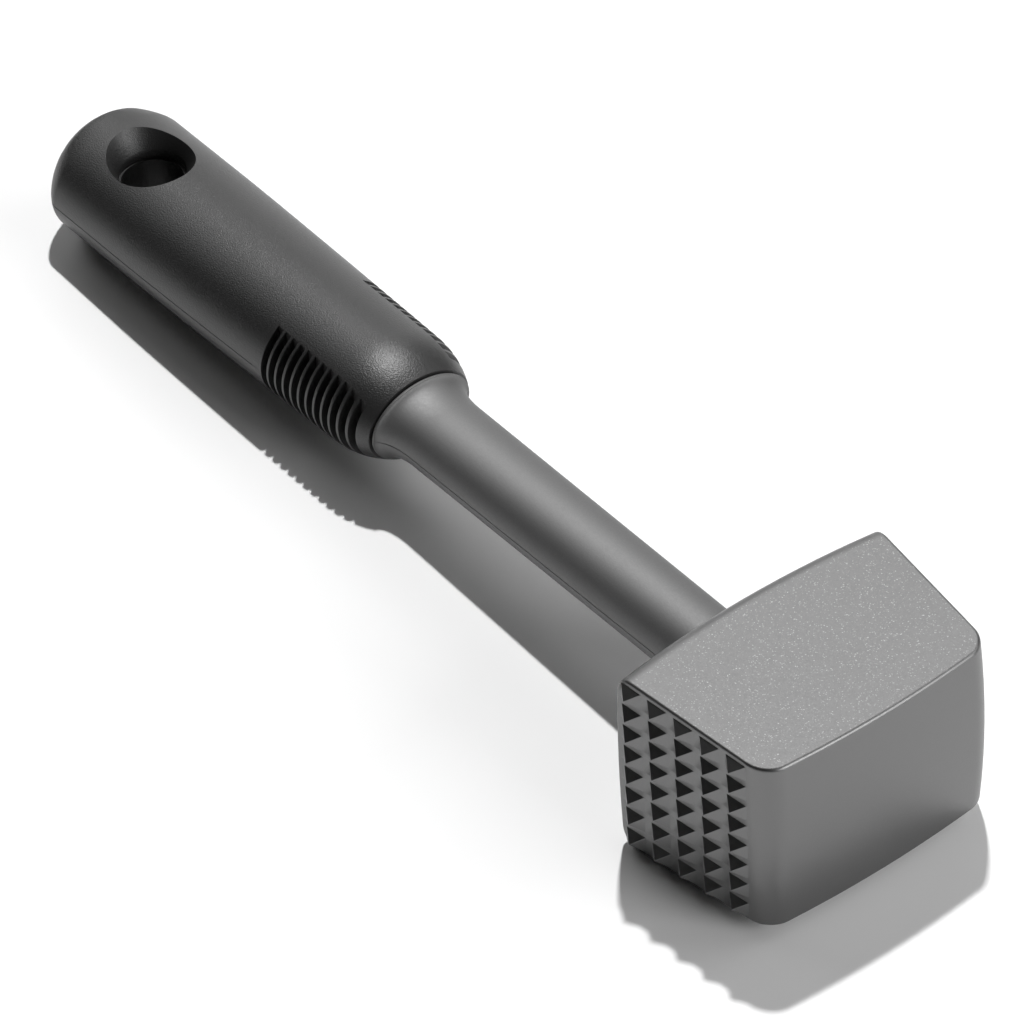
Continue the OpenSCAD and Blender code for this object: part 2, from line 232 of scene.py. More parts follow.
class FinishColours(bpy.types.PropertyGroup):
    """Colours of the finishes"""
    aluminium: colour("Aluminium", "Blasted die-cast aluminium", "767676")
    # Lighter colour painted on a few facets of the head's flat sides, as painted glints
    painted_glint: colour("Speck", "Facets of the blasted skin that shine", "A4A4A4")
    rubber: colour("Rubber", "Moulded thermoplastic rubber", "1C1C1C")
    core: colour("Core", "Moulded polypropylene", "1A1A1A")
    floor: colour("Floor", "Matt white floor", "F4F4F4")


class StageSettings(bpy.types.PropertyGroup):
    """Floor, lights and camera"""
    floor_radius: length("Floor radius", "Radius of the round floor", 0.6)
    distance: length("Light distance", "Distance of every light from the object's middle", 1.6)
    key_size: length("Key size", "Side of the key light", 0.05)
    soft_size: length("Soft size", "Side of each soft light", 0.9)
    key_power: power("Key power", "Power of the small light high behind the object", 22.5)
    back_power: power("Back power", "Power of the soft light low behind the object", 3.4)
    front_power: power("Front power", "Power of the soft light low in front of the head's far end", 15)
    left_power: power("Left power", "Power of the smaller soft light on the teeth's side", 1.2)
    butt_power: power("Butt power", "Power of the soft light beyond the butt", 3.5)
    right_power: power("Right power", "Power of the soft light on the smooth face's side", 4.5)
    lens: FloatProperty(name="Lens", description="Focal length in millimetres", default=250.579)


GROUPS = {
    "tenderizer_head": HeadSizes,
    "tenderizer_teeth": ToothSizes,
    "tenderizer_shank": ShankSizes,
    "tenderizer_tang": TangSizes,
    "tenderizer_grip": GripSizes,
    "tenderizer_fins": FinSizes,
    "tenderizer_hole": HoleSizes,
    "tenderizer_finish": FinishColours,
    "tenderizer_stage": StageSettings,
}


# Modelling by operator

def start(primitive, name, **settings):
    """Adds a primitive under this name, applies its place and size, and leaves it selected by itself."""
    if bpy.context.mode != "OBJECT":
        bpy.ops.object.mode_set(mode="OBJECT")
    bpy.ops.object.select_all(action="DESELECT")
    primitive(**settings)
    piece = bpy.context.active_object
    piece.name = piece.data.name = name
    bpy.ops.object.transform_apply(location=True, rotation=True, scale=True)
    return piece


def work_on(piece):
    """Selects this piece alone and makes it active."""
    if bpy.context.mode != "OBJECT":
        bpy.ops.object.mode_set(mode="OBJECT")
    bpy.ops.object.select_all(action="DESELECT")
    piece.select_set(True)
    bpy.context.view_layer.objects.active = piece


def edit(kind="VERT"):
    """Enters edit mode with this select mode."""
    bpy.ops.object.mode_set(mode="EDIT")
    bpy.ops.mesh.select_mode(type=kind)


def pick(kind, wanted):
    """In edit mode, selects the verts, edges or faces that are wanted, and nothing else. Returns how many."""
    data = bpy.context.edit_object.data
    bpy.ops.mesh.select_mode(type={"verts": "VERT", "edges": "EDGE", "faces": "FACE"}[kind])
    bpy.ops.mesh.select_all(action="DESELECT")
    mesh = bmesh.from_edit_mesh(data)
    found = [element for element in getattr(mesh, kind) if wanted(element)]
    for element in found:
        element.select_set(True)
    mesh.select_flush_mode()
    bmesh.update_edit_mesh(data)
    return len(found)


def middle(element):
    """Middle of an edge or a face."""
    if isinstance(element, bmesh.types.BMFace):
        return element.calc_center_median()
    return (element.verts[0].co + element.verts[1].co) / 2


def corner_angle(edge):
    """Angle between an edge's two faces, in degrees; 0 where it hasn't two."""
    return math.degrees(edge.calc_face_angle(0.0)) if len(edge.link_faces) == 2 else 0.0


def levels(value):
    """In edit mode, the different values that value(vertex) takes, in order."""
    mesh = bmesh.from_edit_mesh(bpy.context.edit_object.data)
    found = []
    for number in sorted(value(v) for v in mesh.verts):
        if not found or number - found[-1] > SAME_ROW:
            found.append(number)
    return found


def cut(point, normal, within=None):
    """In edit mode, cuts the faces within the test, or all of them, by a plane."""
    pick("faces", within or (lambda face: True))
    bpy.ops.mesh.bisect(plane_co=point, plane_no=normal, threshold=TOUCH)


def close_up():
    """In edit mode, merges doubled points and turns every face outwards."""
    bpy.ops.mesh.select_all(action="SELECT")
    bpy.ops.mesh.remove_doubles(threshold=TOUCH)
    bpy.ops.mesh.normals_make_consistent(inside=False)


def loft(name, stations, sides):
    """A solid of oval sections square to X. Each station is X, half the width and half the thickness."""
    x, half_w, half_t = stations[0]
    piece = start(
        bpy.ops.mesh.primitive_circle_add, name, vertices=sides, radius=half_t, fill_type="NGON",
        location=(x, 0, 0), rotation=(0, math.pi / 2, 0))
    edit("FACE")
    bpy.ops.mesh.select_all(action="SELECT")
    bpy.ops.transform.resize(value=(1, half_w / half_t, 1), center_override=(x, 0, 0))
    for (x0, w0, t0), (x1, w1, t1) in zip(stations, stations[1:]):
        bpy.ops.mesh.extrude_region_move(TRANSFORM_OT_translate={"value": (x1 - x0, 0, 0)})
        bpy.ops.transform.resize(value=(1, w1 / w0, t1 / t0), center_override=(x1, 0, 0))
    close_up()
    bpy.ops.object.mode_set(mode="OBJECT")
    return piece


def modifier(piece, kind, **settings):
    """Adds a modifier with these settings to a piece and applies it."""
    work_on(piece)
    bpy.ops.object.modifier_add(type=kind)
    added = piece.modifiers[-1]
    for name, value in settings.items():
        setattr(added, name, value)
    bpy.ops.object.modifier_apply(modifier=added.name)


def combine(piece, tool, operation):
    """Joins a solid to a piece, or cuts it out of it, and removes the tool."""
    modifier(piece, "BOOLEAN", operation=operation, object=tool, solver="EXACT")
    bpy.data.objects.remove(tool)


def press_seam(width, on_seam):
    """In edit mode, presses a fine groove along the edges on a seam at the middle height."""
    pick("edges", lambda e: all(abs(v.co.z) < TOUCH and on_seam(v.co) for v in e.verts))
    bpy.ops.mesh.bevel(offset=width / 2, segments=2, affect="EDGES", profile=0.5)
    for side in (-1, 1):
        pick("verts", lambda v: abs(v.co.z) < TOUCH and side * v.co.y > 0 and on_seam(v.co))
        bpy.ops.transform.translate(value=(0, -side * SEAM_DEPTH, 0))


def finish(piece, material, node):
    """Lifts a piece that was modelled round the X axis to the handle's height and puts it in the frame."""
    work_on(piece)
    bpy.ops.transform.translate(value=(0, 0, AXIS_Z))
    bpy.ops.object.transform_apply(location=True, rotation=True, scale=True)
    bpy.ops.object.shade_smooth_by_angle(angle=SMOOTH_BELOW)
    modifier(piece, "WEIGHTED_NORMAL", keep_sharp=True, weight=80)
    piece.data.materials.clear()
    piece.data.materials.append(material)
    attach(piece, "root")
    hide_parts(node)


# Materials

def add_node(tree, kind, values=None, links=None, **settings):
    """Adds a node with these settings, input values and links from other nodes' outputs."""
    node = tree.nodes.new(kind)
    for name, value in settings.items():
        setattr(node, name, value)
    for name, value in (values or {}).items():
        node.inputs[name].default_value = value
    for name, output in (links or {}).items():
        tree.links.new(output, node.inputs[name])
    return node


def new_material(name):
    """An empty node material, and its tree and output."""
    material = bpy.data.materials.new(name)
    material.use_nodes = True
    material.node_tree.nodes.clear()
    output = add_node(material.node_tree, "ShaderNodeOutputMaterial")
    return material, material.node_tree, output


def blasted_aluminium(tint, painted_glint_tint, head):
    """Die-cast aluminium, bead-blasted: dull shank, smoother head walls, painted glints on the flat sides."""
    material, tree, output = new_material("blasted_aluminium")
    place = add_node(tree, "ShaderNodeTexCoord")
    axes = add_node(tree, "ShaderNodeSeparateXYZ", None, {"Vector": place.outputs["Object"]})
    # The skin changes over the last 3 mm of the shank
    back_x = FAR_X - head.length
    on_head = add_node(tree, "ShaderNodeMapRange", {"From Min": back_x - 3 * MM, "From Max": back_x},
                       {"Value": axes.outputs["X"]})
    # The head's flat sides: all that lies less than 0.1 mm under the sloping plane of either side
    above = add_node(tree, "ShaderNodeMath", {1: AXIS_Z}, {0: axes.outputs["Z"]}, operation="SUBTRACT")
    away = add_node(tree, "ShaderNodeMath", None, {0: above.outputs[0]}, operation="ABSOLUTE")
    level = add_node(tree, "ShaderNodeMath", {1: math.tan(head.flat_angle)},
                     {0: axes.outputs["X"], 2: away.outputs[0]}, operation="MULTIPLY_ADD")
    on_flat = add_node(tree, "ShaderNodeMapRange",
                       {"From Min": head.height / 2 - 0.1 * MM, "From Max": head.height / 2 - 0.03 * MM},
                       {"Value": level.outputs[0]})
    # Single facets of the blasted skin, drawn 0.2 mm wide so that they show
    facets = add_node(tree, "ShaderNodeTexVoronoi", {"Scale": 1 / (0.2 * MM)},
                      {"Vector": place.outputs["Object"]})
    shank_skin = add_node(tree, "ShaderNodeMapRange", {"To Min": 0.56, "To Max": 0.66},
                          {"Value": facets.outputs["Color"]})
    wall_skin = add_node(tree, "ShaderNodeMapRange", {"To Min": 0.38, "To Max": 0.44},
                         {"Value": facets.outputs["Color"]})
    flat_skin = add_node(tree, "ShaderNodeMapRange", {"To Min": 0.56, "To Max": 0.68},
                         {"Value": facets.outputs["Color"]})
    body = add_node(tree, "ShaderNodeMix", None, {
        0: on_head.outputs["Result"], 2: shank_skin.outputs["Result"], 3: wall_skin.outputs["Result"]})
    roughness = add_node(tree, "ShaderNodeMix", None, {
        0: on_flat.outputs["Result"], 2: body.outputs[0], 3: flat_skin.outputs["Result"]})
    # A few facets of the flat sides get a lighter colour: painted glints where they would catch the light
    painted_glint_cells = add_node(tree, "ShaderNodeMapRange", {"From Min": 0.8, "From Max": 0.92},
                       {"Value": facets.outputs["Color"]})
    painted_glint = add_node(tree, "ShaderNodeMath", None,
                     {0: painted_glint_cells.outputs["Result"], 1: on_flat.outputs["Result"]}, operation="MULTIPLY")
    tone = add_node(tree, "ShaderNodeMix", {6: (*tint, 1), 7: (*painted_glint_tint, 1)}, {0: painted_glint.outputs[0]},
                    data_type="RGBA")
    # Bead marks, drawn 0.3 mm across so that they show, and deeper on the shank
    grain = add_node(tree, "ShaderNodeTexNoise", {"Scale": 1 / (0.3 * MM), "Detail": 2.0, "Roughness": 0.6},
                     {"Vector": place.outputs["Object"]})
    depth = add_node(tree, "ShaderNodeMapRange", {"To Min": 0.6, "To Max": 0.25},
                     {"Value": on_head.outputs["Result"]})
    strength = add_node(tree, "ShaderNodeMath", {1: 0.4},
                        {0: on_flat.outputs["Result"], 2: depth.outputs["Result"]}, operation="MULTIPLY_ADD")
    bump = add_node(tree, "ShaderNodeBump", {"Distance": 0.03 * MM},
                    {"Height": grain.outputs["Fac"], "Strength": strength.outputs[0]})
    shader = add_node(tree, "ShaderNodeBsdfPrincipled", {"Metallic": 1.0},
                      {"Base Color": tone.outputs[2], "Roughness": roughness.outputs[0],
                       "Normal": bump.outputs["Normal"]})
    tree.links.new(shader.outputs["BSDF"], output.inputs["Surface"])
    return material


def moulded_rubber(tint):
    """Thermoplastic rubber from a spark-eroded mould: near black, matt, with a fine even grain."""
    material, tree, output = new_material("moulded_rubber")
    place = add_node(tree, "ShaderNodeTexCoord")
    # Grain of the mould, about 0.3 mm
    grain = add_node(tree, "ShaderNodeTexNoise", {"Scale": 1 / (0.3 * MM), "Detail": 2.0, "Roughness": 0.6},
                     {"Vector": place.outputs["Object"]})
    bump = add_node(tree, "ShaderNodeBump", {"Strength": 1.0, "Distance": 0.08 * MM},
                    {"Height": grain.outputs["Fac"]})
    shader = add_node(tree, "ShaderNodeBsdfPrincipled",
                      {"Base Color": (*tint, 1), "Roughness": 0.4, "IOR": 1.5, "Specular IOR Level": 0.7},
                      {"Normal": bump.outputs["Normal"]})
    tree.links.new(shader.outputs["BSDF"], output.inputs["Surface"])
    return material


def moulded_polypropylene(tint):
    """Injection-moulded polypropylene: black, smooth and half matt, with a faint mould texture."""
    material, tree, output = new_material("moulded_polypropylene")
    place = add_node(tree, "ShaderNodeTexCoord")
    # Faint texture of the mould, about 0.4 mm
    grain = add_node(tree, "ShaderNodeTexNoise", {"Scale": 1 / (0.4 * MM), "Detail": 1.0},
                     {"Vector": place.outputs["Object"]})
    bump = add_node(tree, "ShaderNodeBump", {"Strength": 0.3, "Distance": 0.02 * MM},
                    {"Height": grain.outputs["Fac"]})
    shader = add_node(tree, "ShaderNodeBsdfPrincipled",
                      {"Base Color": (*tint, 1), "Roughness": 0.42, "IOR": 1.49},
                      {"Normal": bump.outputs["Normal"]})
    tree.links.new(shader.outputs["BSDF"], output.inputs["Surface"])
    return material


def matt_white(tint):
    """Matt white board, with no gloss and no texture of its own."""
    material, tree, output = new_material("matt_white_board")
    shader = add_node(tree, "ShaderNodeBsdfDiffuse", {"Color": (*tint, 1), "Roughness": 0.0})
    tree.links.new(shader.outputs["BSDF"], output.inputs["Surface"])
    return material


# The casting

def bow(zone, half_width, amount, direction):
    """In edit mode, pushes one end of the block out along X into an even arc across its width."""
    for y in levels(lambda v: abs(v.co.y)):
        push = direction * amount * (1 - (y / half_width) ** 2)
        if pick("verts", lambda v: abs(abs(v.co.y) - y) < SAME_ROW and zone(v.co)):
            bpy.ops.transform.translate(value=(push, 0, 0))


def tooth_rows(head, teeth):
    """Lowest and highest Z of each tooth of a column."""
    half_field = head.height / 2 - head.edge - teeth.rim
    pitch = (2 * half_field + teeth.gap) / teeth.rows
    return [(row * pitch - half_field, (row + 1) * pitch - teeth.gap - half_field)
            for row in range(teeth.rows)]


def head_block(head, teeth):
    """The head as a block on the X axis, with rounded back edges, far corners, bowed ends and a belly."""
    back_x = FAR_X - head.length + head.back_bow
    far_x = FAR_X - head.far_bow
    half_w, half_h = head.width / 2, head.height / 2
    block = start(
        bpy.ops.mesh.primitive_cube_add, "head_block", size=1,
        location=((back_x + far_x) / 2, 0, 0), scale=(far_x - back_x, head.width, head.height))
    edit("EDGE")
    # The upper and lower edges of the back, then the upright corners of the far end
    pick("edges", lambda e: all(v.co.x < back_x + TOUCH for v in e.verts)
         and abs(e.verts[0].co.y - e.verts[1].co.y) > half_w)
    bpy.ops.mesh.bevel(offset=head.back_edge, segments=8, affect="EDGES", profile=0.5)
    pick("edges", lambda e: all(v.co.x > far_x - TOUCH for v in e.verts)
         and abs(e.verts[0].co.z - e.verts[1].co.z) > half_h)
    bpy.ops.mesh.bevel(offset=head.far_corner, segments=10, affect="EDGES", profile=0.5)
    # Upright slices between the far corners, so that both ends can bow
    slices = 12
    reach = half_w - 1.2 * head.far_corner
    for i in range(slices + 1):
        cut((0, reach * (2 * i / slices - 1), 0), (0, 1, 0))
    bow(lambda co: co.x < back_x + head.back_edge + TOUCH, half_w, head.back_bow, -1)
    bow(lambda co: co.x > far_x - head.far_corner - TOUCH, half_w, head.far_bow, 1)
    # Level cuts at both ends of every tooth, and then the belly, which is fullest at the middle height
    for z in (z for row in tooth_rows(head, teeth) for z in row):
        cut((0, 0, z), (0, 0, 1))
    for z in levels(lambda v: abs(v.co.z)):
        inset = head.belly * (z / half_h) ** 2
        pick("verts", lambda v: abs(abs(v.co.z) - z) < SAME_ROW)
        bpy.ops.transform.resize(value=(1 - 2 * inset / head.length, 1, 1), center_override=(0, 0, 0))
        pick("verts", lambda v: abs(abs(v.co.z) - z) < SAME_ROW and v.co.y > TOUCH)
        bpy.ops.transform.resize(value=(1, 1 - inset / half_w, 1), center_override=(0, 0, 0))
    # The tooth side has no belly and stands as far in as the edges of the smooth one
    pick("verts", lambda v: v.co.y < -TOUCH)
    bpy.ops.transform.resize(value=(1, 1 - head.belly / half_w, 1), center_override=(0, 0, 0))
    return block


def first_column(head, teeth):
    """X of the first column's edge nearest the hand."""
    return FAR_X - head.length + head.back_bow + teeth.setback


def cut_columns(head, teeth):
    """In edit mode, cuts the flat wall on the tooth side along both edges of each column."""
    wall_y = head.belly - head.width / 2

    def on_wall(face):
        return face.normal.y < WALL_FACING and middle(face).y < wall_y + TOUCH

    for i in range(teeth.columns):
        x = first_column(head, teeth) + i * (teeth.width + teeth.channel)
        for edge_x in (x, x + teeth.width):
            cut((edge_x, 0, 0), (1, 0, 0), on_wall)


def round_edges(head):
    """In edit mode, rounds the head's sharp edges, and leaves edit mode."""
    pick("edges", lambda e: corner_angle(e) > 50)
    bpy.ops.mesh.bevel(offset=head.edge, segments=4, affect="EDGES", profile=0.5)
    bpy.ops.object.mode_set(mode="OBJECT")


def taper(block, head):
    """Closes the head in towards its far end, seen from above and from the side."""
    spread = [v.co.x for v in block.data.vertices]
    span = max(spread) - min(spread)
    sides = ((head.face_angle, head.width / 2, "lock_z"), (head.flat_angle, head.height / 2, "lock_y"))
    for closing, half, lock in sides:
        modifier(block, "SIMPLE_DEFORM", deform_method="TAPER", deform_axis="X",
                 factor=-span * math.tan(closing) / half, **{lock: True})


def raise_teeth(block, head, teeth):
    """Raises a pyramid from each field of the wall that is wider than a channel and higher than a gap."""
    wall_y = head.belly - head.width / 2
    last = first_column(head, teeth) + teeth.columns * (teeth.width + teeth.channel)

    def on_field(element):
        return middle(element).y < wall_y / 2 and middle(element).x < last

    def is_base(face):
        across = [v.co.x for v in face.verts]
        up = [v.co.z for v in face.verts]
        wide = max(across) - min(across) > 1.5 * teeth.channel
        high = max(up) - min(up) > 1.5 * teeth.gap
        return face.normal.y < WALL_FACING and on_field(face) and wide and high

    # A flank slants more than the wall and less than the block's other sides
    def is_flank(face):
        return -0.97 < face.normal.y < -0.32

    work_on(block)
    edit("FACE")
    found = pick("faces", is_base)
    if found != teeth.columns * teeth.rows:
        raise RuntimeError(f"{found} fields for {teeth.columns * teeth.rows} teeth")
    bpy.ops.mesh.poke(offset=teeth.height)
    pick("edges", lambda e: corner_angle(e) > 20 and on_field(e) and all(is_flank(f) for f in e.link_faces))
    bpy.ops.mesh.bevel(offset=teeth.crest, segments=2, affect="EDGES", profile=0.5, clamp_overlap=True)
    close_up()
    bpy.ops.object.mode_set(mode="OBJECT")


def blend(first, second, share):
    """The pair of numbers that lies this share of the way from the first pair to the second."""
    return tuple(a + (b - a) * share for a, b in zip(first, second))


def cast_shank(shank, head):
    """The collar, its hollow flare, the tapering oval shank and the fillet at its root, as one loft."""
    collar_x = FAR_X - head.length - shank.length
    rim_x = collar_x + shank.rim
    flare_x = rim_x + shank.flare
    root_x = FAR_X - head.length - shank.root
    collar = (shank.collar_width / 2, shank.collar_thickness / 2)
    at_grip = (shank.width / 2, shank.thickness / 2)
    at_head = (shank.width_head / 2, shank.thickness_head / 2)
    # The collar starts with a rounded edge
    edge = 0.2 * MM
    stations = [(collar_x, collar[0] - edge, collar[1] - edge),
                (collar_x + 0.3 * edge, collar[0] - 0.3 * edge, collar[1] - 0.3 * edge),
                (collar_x + edge, *collar), (rim_x, *collar)]
    # The flare is a quarter of an ellipse
    for step in range(1, 17):
        t = 1 - math.cos(math.radians(90 * step / 16))
        swell = 1 - math.sqrt(1 - (1 - t) ** 2)
        stations.append((rim_x + t * shank.flare, *blend(at_grip, collar, swell)))
    for step in range(1, 25):
        t = step / 24
        stations.append((flare_x + t * (root_x - flare_x), *blend(at_grip, at_head, t)))
    # The fillet at the root is a quarter of a circle
    for step in range(1, 9):
        turn = math.radians(90 * step / 8)
        swell = shank.root * (1 - math.cos(turn))
        stations.append((root_x + shank.root * math.sin(turn), at_head[0] + swell, at_head[1] + swell))
    end_x, half_w, half_t = stations[-1]
    stations.append((end_x + head.back_bow + OVERLAP, half_w, half_t))
    piece = loft("shank", stations, 96)
    edit()
    press_seam(shank.seam, lambda co: rim_x - TOUCH < co.x < root_x + TOUCH)
    bpy.ops.object.mode_set(mode="OBJECT")
    return piece


def cast_tang(tang, shank, head):
    """The flat tang with its round end and two holes."""
    collar_x = FAR_X - head.length - shank.length
    end_x = NOSE_X - tang.length
    piece = start(
        bpy.ops.mesh.primitive_cube_add, "tang", size=1, location=((end_x + collar_x + OVERLAP) / 2, 0, 0),
        scale=(collar_x + OVERLAP - end_x, tang.width, tang.thickness))
    edit("EDGE")
    pick("edges", lambda e: all(v.co.x < end_x + TOUCH for v in e.verts)
         and abs(e.verts[0].co.z - e.verts[1].co.z) > tang.thickness / 2)
    bpy.ops.mesh.bevel(offset=tang.width / 2 - TOUCH, segments=16, affect="EDGES", profile=0.5)
    close_up()
    bpy.ops.object.mode_set(mode="OBJECT")
    for i in range(2):
        hole = start(
            bpy.ops.mesh.primitive_cylinder_add, "tang_hole", vertices=48, radius=tang.hole,
            depth=2 * tang.thickness, location=(end_x + tang.width / 2 + i * tang.pitch, 0, 0))
        combine(piece, hole, "DIFFERENCE")
    return piece


class TENDERIZER_OT_casting(bpy.types.Operator):
    """Model the head, its teeth, the shank and the tang as one casting"""
    bl_idname = "tenderizer.casting"
    bl_label = "Casting"
    bl_options = {"REGISTER", "UNDO"}

    def execute(self, context):
        scene = context.scene
        head, teeth = scene.tenderizer_head, scene.tenderizer_teeth
        casting = head_block(head, teeth)
        cut_columns(head, teeth)
        close_up()
        round_edges(head)
        taper(casting, head)
        raise_teeth(casting, head, teeth)
        combine(casting, cast_shank(scene.tenderizer_shank, head), "UNION")
        combine(casting, cast_tang(scene.tenderizer_tang, scene.tenderizer_shank, head), "UNION")
        casting.name = casting.data.name = "cast_head_and_shank"
        tints = scene.tenderizer_finish
        metal = blasted_aluminium(tints.aluminium, tints.painted_glint, head)
        finish(casting, metal, "casting")
        return {"FINISHED"}


# The grip

def grip_half(grip, shank, x):
    """Half the grip's width and half its thickness at X."""
    grip_length = NOSE_X - BUTT_X
    body = max(0, min(1, (x - BUTT_X - NARROW_START * grip_length) / (NARROW_SPAN * grip_length)))
    roll = max(0, (x - NOSE_X + grip.nose_round) / grip.nose_round) ** ROLL_POWER
    half_w = (grip.width + (grip.width_front - grip.width) * body ** NARROW_POWER) / 2
    half_t = grip.thickness / 2
    half_w += (shank.collar_width / 2 + grip.step - half_w) * roll
    half_t += (shank.collar_thickness / 2 + grip.step - half_t) * roll

    def closing(round_length, fullness):
        depth = (x - BUTT_X) / round_length
        return 1 if depth >= 1 else (1 - (1 - depth) ** fullness) ** (1 / fullness)

    return (half_w * closing(grip.butt_round, BUTT_FULLNESS),
            half_t * closing(grip.butt_round_side, BUTT_FULLNESS_SIDE))


def sleeve_body(grip, shank):
    """The sleeve's outside as one loft from the butt to the nose."""
    butt = [BUTT_X + grip.butt_round * (1 - math.cos(math.radians(a))) for a in (2, 5, *range(10, 90, 5))]
    straight = NOSE_X - grip.nose_round - BUTT_X - grip.butt_round
    body = [BUTT_X + grip.butt_round + straight * i / 24 for i in range(24)]
    nose = [NOSE_X - grip.nose_round * (1 - i / 16) for i in range(17)]
    return loft("sleeve_body", [(x, *grip_half(grip, shank, x)) for x in butt + body + nose], 96)


def cut_grooves(fins):
    """In edit mode, presses the grooves of both sides into the sleeve, which leaves the fins."""
    grooves = []
    for i in range(fins.grooves):
        front = NOSE_X - fins.start - i * fins.pitch
        grooves.append((front - fins.pitch + fins.thickness, front))
    for back, front in grooves:
        cut((back, 0, 0), (1, 0, 0))
        cut((front, 0, 0), (1, 0, 0))
    low, high = grooves[-1][0], grooves[0][1]
    for side in (-1, 1):
        cut((0, side * fins.stem / 2, 0), (0, 1, 0), lambda f: low < middle(f).x < high)
    for side in (-1, 1):
        pick("faces", lambda f: side * middle(f).y > fins.stem / 2
             and any(back < middle(f).x < front for back, front in grooves))
        bpy.ops.mesh.extrude_region_move(TRANSFORM_OT_translate={"value": (0, -side * TOUCH, 0)})
        # All of the grooves' floors go flat onto the stem
        bpy.ops.transform.resize(value=(1, 0, 1), center_override=(0, side * fins.stem / 2, 0))
    close_up()
    pick("edges", lambda e: low - TOUCH < middle(e).x < high + TOUCH and corner_angle(e) > 60
         and all(abs(v.co.y) > fins.stem / 2 + TOUCH for v in e.verts))
    bpy.ops.mesh.bevel(offset=fins.edge, segments=2, affect="EDGES", profile=0.5, clamp_overlap=True)


def mouth_cutter(hole):
    """The flared mouth of the hanging hole, above and below, as a solid to cut out."""
    # The cone goes on past the sleeve's surface, at the same slope
    top = 20 * MM
    slope = (hole.mouth - hole.lip) / (SLEEVE_HIGH.z - AXIS_Z - hole.lip_height)
    profile = [(hole.lip_height, hole.lip), (top, hole.lip + slope * (top - hole.lip_height))]
    rings = [(-z, r) for z, r in reversed(profile)] + profile
    hole_x = BUTT_X + hole.setback
    piece = start(
        bpy.ops.mesh.primitive_circle_add, "mouth_cutter", vertices=128, radius=rings[0][1], fill_type="NGON",
        location=(hole_x, 0, rings[0][0]))
    edit("FACE")
    bpy.ops.mesh.select_all(action="SELECT")
    for (z0, r0), (z1, r1) in zip(rings, rings[1:]):
        bpy.ops.mesh.extrude_region_move(TRANSFORM_OT_translate={"value": (0, 0, z1 - z0)})
        bpy.ops.transform.resize(value=(r1 / r0, r1 / r0, 1), center_override=(hole_x, 0, z1))
    close_up()
    bpy.ops.object.mode_set(mode="OBJECT")
    return piece


def core_room(hole):
    """The room for the stiff core inside the sleeve: a bar with round sides, and a disc round the eyelet."""
    # The bar starts inside the disc and ends beyond the grip's front, so that the sleeve is open there
    hole_x = BUTT_X + hole.setback
    back_x = hole_x + 8 * MM
    front_x = NOSE_X + 5 * MM
    thickness = hole.core_thickness + 2 * hole.gap
    bar = start(
        bpy.ops.mesh.primitive_cube_add, "core_bar", size=1, location=((back_x + front_x) / 2, 0, 0),
        scale=(front_x - back_x, hole.core_width + 2 * hole.gap, thickness))
    edit("EDGE")
    pick("edges", lambda e: abs(e.verts[0].co.x - e.verts[1].co.x) > thickness)
    bpy.ops.mesh.bevel(offset=thickness / 2 - TOUCH, segments=16, affect="EDGES", profile=0.5)
    close_up()
    bpy.ops.object.mode_set(mode="OBJECT")
    disc = start(
        bpy.ops.mesh.primitive_cylinder_add, "core_disc", vertices=96, radius=hole.core_ring + hole.gap,
        depth=hole.core_ring_thickness + 2 * hole.gap, location=(hole_x, 0, 0))
    combine(bar, disc, "UNION")
    return bar


class TENDERIZER_OT_sleeve(bpy.types.Operator):
    """Model the soft sleeve with its fins and the mouth of its hanging hole"""
    bl_idname = "tenderizer.sleeve"
    bl_label = "Soft sleeve"
    bl_options = {"REGISTER", "UNDO"}

    def execute(self, context):
        scene = context.scene
        grip, fins, hole = scene.tenderizer_grip, scene.tenderizer_fins, scene.tenderizer_hole
        sleeve = sleeve_body(grip, scene.tenderizer_shank)
        edit()
        seam_start = BUTT_X + 1 * MM
        seam_end = NOSE_X - fins.start - fins.grooves * fins.pitch
        press_seam(grip.seam, lambda co: seam_start < co.x < seam_end)
        cut_grooves(fins)
        bpy.ops.object.mode_set(mode="OBJECT")
        combine(sleeve, core_room(hole), "DIFFERENCE")
        combine(sleeve, mouth_cutter(hole), "DIFFERENCE")
        sleeve.name = sleeve.data.name = "soft_sleeve"
        finish(sleeve, moulded_rubber(scene.tenderizer_finish.rubber), "grip_sleeve")
        return {"FINISHED"}


class TENDERIZER_OT_core(bpy.types.Operator):
    """Give the stiff core its finish"""
    bl_idname = "tenderizer.core"
    bl_label = "Stiff core"
    bl_options = {"REGISTER", "UNDO"}

    def execute(self, context):
        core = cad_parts["grip_core"]
        core.data.materials.clear()
        core.data.materials.append(moulded_polypropylene(context.scene.tenderizer_finish.core))
        return {"FINISHED"}


# The stage

def resting_line():
    """Height at X = 0 and slope along X of the surface that the object lies on, by its head and its butt."""
    points = sorted({(round(v.co.x, 5), v.co.z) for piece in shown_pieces() for v in piece.data.vertices})
    lower = []
    for point in points:
        while len(lower) > 1 and (
                (lower[-1][0] - lower[-2][0]) * (point[1] - lower[-2][1])
                <= (lower[-1][1] - lower[-2][1]) * (point[0] - lower[-2][0])):
            lower.pop()
        lower.append(point)
    (x0, z0), (x1, z1) = max(zip(lower, lower[1:]), key=lambda pair: pair[1][0] - pair[0][0])
    slope = (z1 - z0) / (x1 - x0)
    return z0 - slope * x0, slope


def area_light(name, side, watts, toward, distance, aim):
    """A square studio light that faces the aim from a direction."""
    bpy.ops.object.light_add(type="AREA", location=aim + toward.normalized() * distance)
    light = bpy.context.active_object
    light.name = name
    light.rotation_euler = toward.to_track_quat("Z", "Y").to_euler()
    light.data.size = side
    light.data.energy = watts


